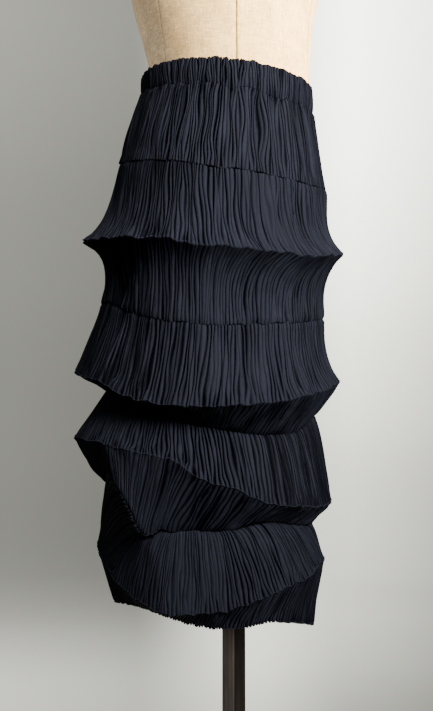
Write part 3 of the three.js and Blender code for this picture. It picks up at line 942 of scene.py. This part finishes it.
def steel_material(settings):
    """Dark painted steel, brushed lengthways and rubbed brown in streaks."""
    material, nodes, shader, place = new_material("Dark steel")
    worn = nodes.streaks(place, (120, 120, 9), 0, 1)
    colour = nodes.mixed(worn, rgba(settings.steel), rgba(settings.rubbed))
    nodes.give(shader, {
        "Base Color": nodes.toned(colour, nodes.streaks(place, (900, 900, 30), 0.75, 1.3)),
        "Roughness": nodes.streaks(place, (400, 400, 12), 0.38, 0.6),
        "Metallic": 0.25,
    })
    return material


# ---- pieces --------------------------------------------------------------------------
def waistband_sheet(settings):
    """The casing's turned-in lower edge, outer face, rolled top and flat inner face."""
    count = settings.pleats
    columns = columns_round(count)
    up = np.array(CASING_ROWS)[:, None]
    pleats = Pleats(BAND_SEED, count, up, BAND_WANDER)
    pleats.blended(waist_pleats(count), np.exp(-up / BAND_SHARE))
    pleats.depth = pleats.depth * np.where(gathered(count), *WAIST_GATHERS)
    start = column_bearings(pleats, columns)
    low = ring_point("waistSeam", start)
    high = ring_point("waistTop", start)
    high[..., 2] += ring_jitter("waistTop", columns)
    depth, crease = pleat_relief(pleats, columns)
    tall = HEIGHTS["waistTop"][0] - HEIGHTS["waistSeam"][0]
    pinch = BAND_PINCH * np.exp(-((up * tall / BAND_PINCH_REACH) ** 2))
    belly = BAND_BELLY * np.sin(math.pi * up)
    pressed, shade = patched("waistband", start)
    relief = BAND_DEPTH * pressed * (LIFT - depth) - pinch + belly
    # Painted shade in the waistband's creases.
    crease = BAND_DARKNESS * shade * crease
    outer = lerp(low, high, up[..., None]) + relief[..., None] * outwards(start)
    outer[..., 2] += SEAM_GAP / 2 + seam_stray("waistSeam", columns) * (1 - up) ** 2
    outer[..., 2] -= BAND_TEETH * depth * smooth(BAND_TEETH_SHARE, 1, up)
    turned = outer[:1] - ALLOWANCE * outwards(start[:1])
    turned[..., 2] -= ALLOWANCE_DROP
    rows, masks = [turned, outer], [crease[:1], crease]
    edge, way = outer[-1:], outwards(start[-1:])
    # Painted shade on the rolled top and, evenly, on the inner face.
    rolled_shade, inner_shade = CASING_SHADES
    for inward, rise in CASING_ROLL:
        ledge = edge - inward * way
        ledge[..., 2] += rise
        rows.append(ledge)
        masks.append(rolled_shade * crease[-1:])
    for share_up in CASING_INSIDE:
        rows.append(lerp(low[:1], high[-1:], share_up) - CASING_THICK * way)
        masks.append(inner_shade + 0 * crease[-1:])
    return np.concatenate(rows), np.concatenate(masks)


class SKIRT_OT_waistband(bpy.types.Operator):
    """Make the gathered casing of the waistband"""

    bl_idname = "skirt.waistband"
    bl_label = "Waistband"

    def execute(self, context):
        settings = context.scene.skirt_cloth
        points, crease = waistband_sheet(settings)
        piece = grid_piece("waistband_casing", points, "crease", crease)
        thicken(piece, settings.thickness)
        dress(piece, pleated_cloth(settings))
        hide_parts("waistband")
        return {"FINISHED"}


class SKIRT_OT_strips(bpy.types.Operator):
    """Make the pleated strips of the yoke and the four tiers"""

    bl_idname = "skirt.strips"
    bl_label = "Pleated strips"

    def execute(self, context):
        settings = context.scene.skirt_cloth
        material = pleated_cloth(settings)
        sheets = [strip_sheet(strip, settings) for strip in STRIPS]
        for i, strip in enumerate(STRIPS):
            if not strip.bottom.startswith("seam"):
                lines = [points[row] for (points, crease), row in zip(sheets[i:i + 2], (0, -1))]
                tube = rolled_edge(lines, settings)
                edge = grid_piece(strip.bottom + "_edge", tube, "crease", 0 * tube[..., 0])
                dress(edge, material)
            points, crease = turned_in(*sheets[i], strip)
            piece = grid_piece(strip.name + "_cloth", points, "crease", crease)
            thicken(piece, settings.thickness)
            dress(piece, material)
            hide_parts(strip.name)
            widest = max(RINGS[strip.top].half_width, RINGS[strip.bottom].half_width) * MM
        return {"FINISHED"}


def form_rows():
    """Heights and sizes of the form's sections, eased through the table's rows."""
    table = np.array(FORM, float)
    heights = np.concatenate([
        np.linspace(a, b, max(2, round((b - a) / FORM_ROW)), endpoint=False)
        for a, b in zip(table[:-1, 0], table[1:, 0])] + [table[-1:, 0]])
    slopes = np.gradient(table[:, 1:], table[:, 0], axis=0)
    slopes[1:-1] = (table[2:, 1:] - table[:-2, 1:]) / (table[2:, :1] - table[:-2, :1])
    i = np.clip(np.searchsorted(table[:, 0], heights, side="right") - 1, 0, len(table) - 2)
    span = (table[i + 1, 0] - table[i, 0])[:, None]
    t = (heights[:, None] - table[i, :1]) / span
    a, b, p, q = table[i, 1:], table[i + 1, 1:], slopes[i] * span, slopes[i + 1] * span
    sizes = a + t * (p + t * (3 * (b - a) - 2 * p - q + t * (p + q - 2 * (b - a))))
    return heights, sizes


def form_sheet():
    """Points of the padded form's cover, underside first, and a mask of its seams."""
    heights, sizes = form_rows()
    seams = [seam.bearing for seam in PANEL_SEAMS]
    plain = [
        bearing for bearing in np.arange(0, 360, FORM_COLUMN)
        if min(abs(apart(bearing, seam)) for seam in seams) > FORM_COLUMN / 2]
    beside = [seam + step for seam in seams for step in SEAM_COLUMNS]
    bearing = np.sort(np.mod(plain + beside, 360))
    bearing = np.append(bearing, bearing[0] + 360)
    away = np.abs([apart(bearing, seam) for seam in seams])
    nearest = away.min(axis=0)
    groove = sum(
        dent.height * np.exp(-(((nearest - dent.away) / dent.spread) ** 2)) for dent in GROOVE)
    shade = np.array([seam.shade for seam in PANEL_SEAMS])[away.argmin(axis=0)]
    groove = groove * (FAINT_GROOVE + shade)
    drift = np.interp(heights, *SEAM_DRIFT)[:, None] * np.sin(np.radians(bearing))
    half_width, half_depth, centre_x, centre_y = (sizes[:, k, None] for k in range(4))
    turn = np.radians(bearing - drift)
    x = centre_x + (half_width + groove) * np.sin(turn)
    y = centre_y - (half_depth + groove) * np.cos(turn)
    z = heights[:, None] + 0 * x
    mask = shade * np.exp(-((nearest / SEAM_SHADOW) ** 2)) + 0 * x
    return np.stack([x, y, z], -1), mask


class SKIRT_OT_form(bpy.types.Operator):
    """Make the padded form's linen cover"""

    bl_idname = "skirt.form"
    bl_label = "Dress form"

    def execute(self, context):
        settings = context.scene.skirt_form
        points, seam = form_sheet()
        piece = grid_piece("form_cover", points, "seam", seam)
        only(piece)
        bpy.ops.object.mode_set(mode="EDIT")
        bpy.ops.mesh.select_all(action="DESELECT")
        bpy.ops.mesh.select_non_manifold()
        bpy.ops.mesh.fill_holes(sides=0)
        for side in (1, -1):
            bpy.ops.mesh.select_all(action="SELECT")
            bpy.ops.mesh.bisect(
                plane_co=(side * ARM_FACE_X * MM, 0, 0), plane_no=(side, 0, 0),
                clear_outer=True, use_fill=True)
        bpy.ops.object.mode_set(mode="OBJECT")
        bpy.ops.object.shade_smooth_by_angle(angle=math.radians(35))
        dress(piece, linen_material(settings))
        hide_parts("torso")
        return {"FINISHED"}


STEEL_NODES = (
    "pole",
    "pole_socket",
    "base_collar",
    "base_plate",
    "neck_cap",
    "arm_plate_left",
    "arm_plate_right",
)


class SKIRT_OT_stand(bpy.types.Operator):
    """Finish the pole, base and fittings"""

    bl_idname = "skirt.stand"
    bl_label = "Stand"

    def execute(self, context):
        material = steel_material(context.scene.skirt_form)
        for name in STEEL_NODES:
            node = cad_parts[name]
            node.data.materials.clear()
            node.data.materials.append(material)
        return {"FINISHED"}


# ---- stage ---------------------------------------------------------------------------
# A row per soft light: its bearing, height and distance, the height it aims at, its
# size, its spread in degrees, its share of the settings' power, its colour and what it
# lights.
Lamp = namedtuple("Lamp", "name bearing height distance aim size spread share colour lights")
WHITE, WARM, COOL = (1, 0.98, 0.95), (1, 0.86, 0.52), (0.9, 0.95, 1)
LAMPS = (
    Lamp("Key light", -3, 2.15, 2.3, 1.7, (2.8, 1.4), 80, 0.96, WHITE, "skirt"),
    Lamp("Form key light", 20, 1.5, 2.2, 1.25, (2.6, 1.4), 140, 1.8, WARM, "form"),
    Lamp("Form fill light", -110, 1.3, 2.0, 1.25, (2.0, 1.5), 160, 0.075, COOL, "form"),
    Lamp("Stand light", -72, 0.9, 2.0, 0.4, (1.0, 0.8), 150, 0.2, WHITE, "stand"),
)


def area_light(lamp, power):
    aim = Vector((0, 0, lamp.aim))
    way = Vector(outwards(np.array(float(lamp.bearing))).tolist())
    place = way * lamp.distance + Vector((0, 0, lamp.height))
    bpy.ops.object.light_add(type="AREA", location=place)
    light = bpy.context.object
    light.name = lamp.name
    light.data.shape = "RECTANGLE"
    light.data.size, light.data.size_y = lamp.size
    light.data.spread = math.radians(lamp.spread)
    light.data.energy = power * lamp.share
    light.data.color = lamp.colour
    light.rotation_euler = (aim - place).to_track_quat("-Z", "Y").to_euler()
    return light


def light_linked(light, pieces, state):
    """Keeps a light to some pieces, or off them."""
    linked = bpy.data.collections.new(light.name + " linking")
    light.light_linking.receiver_collection = linked
    for i, piece in enumerate(pieces):
        linked.objects.link(piece)
        linked.collection_objects[i].light_linking.link_state = state


# How bright the backdrop is at the left, middle and right of the view from the front
# right, for lines of sight that rise by these shares of their length.
Wall = namedtuple("Wall", "rise left middle right")
WALL = (
    Wall(-0.24, 0.77, 1.25, 0.60),
    Wall(-0.20, 0.73, 1.60, 0.86),
    Wall(-0.16, 0.43, 1.75, 1.08),
    Wall(-0.12, 0.25, 1.50, 1.22),
    Wall(0.00, 0.235, 1.20, 1.80),
    Wall(0.12, 0.26, 1.30, 3.10),
    Wall(0.24, 0.31, 1.50, 4.80),
    Wall(0.36, 0.40, 1.60, 5.70),
)
WALL_TINT = (0.995, 0.995, 0.88, 1)

# Where, across the view, one column of the table gives way to the next, and the light of
# the backdrop's two ends changes.
LEFT_TO_MIDDLE, MIDDLE_TO_RIGHT = (-0.13, 0.04), (0.0, 0.16)
LEFT_END, LEFT_GAIN = (-0.28, -0.12), 1.3
RIGHT_END, RIGHT_GAIN = (0.15, 0.28), 0.55

# The room's light from its left and its right. It grows from low to high as the way that
# it comes from rises between these shares of its length.
Glow = namedtuple("Glow", "rise_from rise_to low high")
LEFT_GLOW, RIGHT_GLOW = Glow(-0.3, 0.5, 0.02, 0.38), Glow(0.05, 0.7, 0.02, 0.6)

# Metres. The floor fades out between these distances from the stand.
FLOOR_RADIUS, FLOOR_FADE = 2.5, (0.22, 0.6)
CAMERA_PLACE, CAMERA_AIM = (-1.011, -1.011, 0.575), (-0.0156, 0.0156, 0.685)
CAMERA_REACH = 50


def room_light(settings):
    """A pale backdrop for the camera, and a softer, darker room as the light."""
    world = bpy.data.worlds.new("Room")
    bpy.context.scene.world = world
    world.use_nodes = True
    world.node_tree.nodes.clear()
    nodes = Nodes(world.node_tree)
    way = nodes.add("ShaderNodeTexCoord").outputs["Generated"]
    parts = nodes.add("ShaderNodeSeparateXYZ", {"Vector": way}).outputs
    across = nodes.add(
        "ShaderNodeMath", {0: parts["X"], 1: parts["Y"]}, operation="SUBTRACT").outputs[0]
    rise = parts["Z"]
    lowest, highest = WALL[0].rise, WALL[-1].rise
    strongest = max(max(row[1:]) for row in WALL)
    ramp = nodes.add("ShaderNodeValToRGB", {"Fac": nodes.between(rise, lowest, highest)})
    ramp.color_ramp.interpolation = "CARDINAL"
    stops = ramp.color_ramp.elements
    for i, row in enumerate(WALL):
        place = (row.rise - lowest) / (highest - lowest)
        stop = stops[0] if i == 0 else stops[-1] if i == len(WALL) - 1 else stops.new(place)
        stop.position = place
        stop.color = (*(strength / strongest for strength in row[1:]), 1)
    sides = nodes.add("ShaderNodeSeparateColor", {"Color": ramp.outputs["Color"]}).outputs
    half = nodes.between(across, *LEFT_TO_MIDDLE, sides["Red"], sides["Green"], "SMOOTHSTEP")
    wall = nodes.between(across, *MIDDLE_TO_RIGHT, half, sides["Blue"], "SMOOTHSTEP")
    left_end = nodes.between(across, *LEFT_END, LEFT_GAIN * strongest, strongest)
    right_end = nodes.between(across, *RIGHT_END, 1, RIGHT_GAIN)
    backdrop = nodes.product(wall, left_end, right_end)
    glows = (nodes.between(rise, *glow, "SMOOTHSTEP") for glow in (LEFT_GLOW, RIGHT_GLOW))
    light = nodes.between(across, -1, 1, *glows, "SMOOTHSTEP")
    seen = nodes.add("ShaderNodeLightPath").outputs["Is Camera Ray"]
    strength = nodes.between(seen, 0, 1, light, backdrop, "SMOOTHSTEP")
    strength = nodes.product(strength, settings.fill)
    back = nodes.add("ShaderNodeBackground", {"Strength": strength, "Color": WALL_TINT})
    nodes.add("ShaderNodeOutputWorld", {"Surface": back.outputs["Background"]})


def floor_material(settings):
    """Pale floor that fades out away from the stand."""
    material, nodes, shader, place = new_material("Floor")
    reach = nodes.add("ShaderNodeVectorMath", {0: place}, operation="LENGTH").outputs["Value"]
    nodes.give(shader, {
        "Base Color": rgba(settings.floor),
        "Roughness": 0.8,
        "Alpha": nodes.between(reach, *FLOOR_FADE, 1, 0, "SMOOTHSTEP"),
    })
    return material


class SKIRT_OT_stage(bpy.types.Operator):
    """Lay the floor, hang the lights and set the camera"""

    bl_idname = "skirt.stage"
    bl_label = "Stage"

    def execute(self, context):
        settings = context.scene.skirt_stage
        deselect()
        bpy.ops.mesh.primitive_circle_add(vertices=96, radius=FLOOR_RADIUS, fill_type="NGON")
        floor = context.object
        floor.name = "floor"
        floor.data.materials.append(floor_material(settings))
        room_light(settings)
        lit = {
            "form": [bpy.data.objects["form_cover"]],
            "stand": [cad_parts[name] for name in ("pole", "pole_socket")],
        }
        for lamp in LAMPS:
            power = settings.form if lamp.lights == "form" else settings.key
            light = area_light(lamp, power)
            if lamp.lights == "skirt":
                light_linked(light, lit["form"] + lit["stand"], "EXCLUDE")
            else:
                light_linked(light, lit[lamp.lights], "INCLUDE")
        bpy.ops.object.camera_add(location=CAMERA_PLACE)
        camera = context.object
        way = Vector(CAMERA_AIM) - camera.location
        camera.rotation_euler = way.to_track_quat("-Z", "Y").to_euler()
        camera.data.lens = settings.lens
        camera.data.clip_end = CAMERA_REACH
        context.scene.camera = camera
        return {"FINISHED"}


# ---- panel and start -------------------------------------------------------------------
OPERATORS = (
    SKIRT_OT_waistband,
    SKIRT_OT_strips,
    SKIRT_OT_form,
    SKIRT_OT_stand,
    SKIRT_OT_stage,
)


class SKIRT_PT_panel(bpy.types.Panel):
    bl_idname = "SKIRT_PT_panel"
    bl_label = "Pleated skirt"
    bl_space_type = "VIEW_3D"
    bl_region_type = "UI"
    bl_category = "Skirt"

    def draw(self, context):
        for operator in OPERATORS:
            self.layout.operator(operator.bl_idname)
        for group in ("skirt_cloth", "skirt_form", "skirt_stage"):
            settings = getattr(context.scene, group)
            for name in settings.bl_rna.properties.keys():
                if name not in ("rna_type", "name"):
                    self.layout.prop(settings, name)


CLASSES = (SKIRT_PG_cloth, SKIRT_PG_form, SKIRT_PG_stage, *OPERATORS, SKIRT_PT_panel)


def register():
    for cls in CLASSES:
        bpy.utils.register_class(cls)
    bpy.types.Scene.skirt_cloth = PointerProperty(type=SKIRT_PG_cloth)
    bpy.types.Scene.skirt_form = PointerProperty(type=SKIRT_PG_form)
    bpy.types.Scene.skirt_stage = PointerProperty(type=SKIRT_PG_stage)


def unregister():
    for name in ("skirt_cloth", "skirt_form", "skirt_stage"):
        delattr(bpy.types.Scene, name)
    for cls in reversed(CLASSES):
        bpy.utils.unregister_class(cls)


def main():
    register()
    bpy.ops.skirt.waistband()
    bpy.ops.skirt.strips()
    bpy.ops.skirt.form()
    bpy.ops.skirt.stand()
    bpy.ops.skirt.stage()


if __name__ == "__main__":
    main()
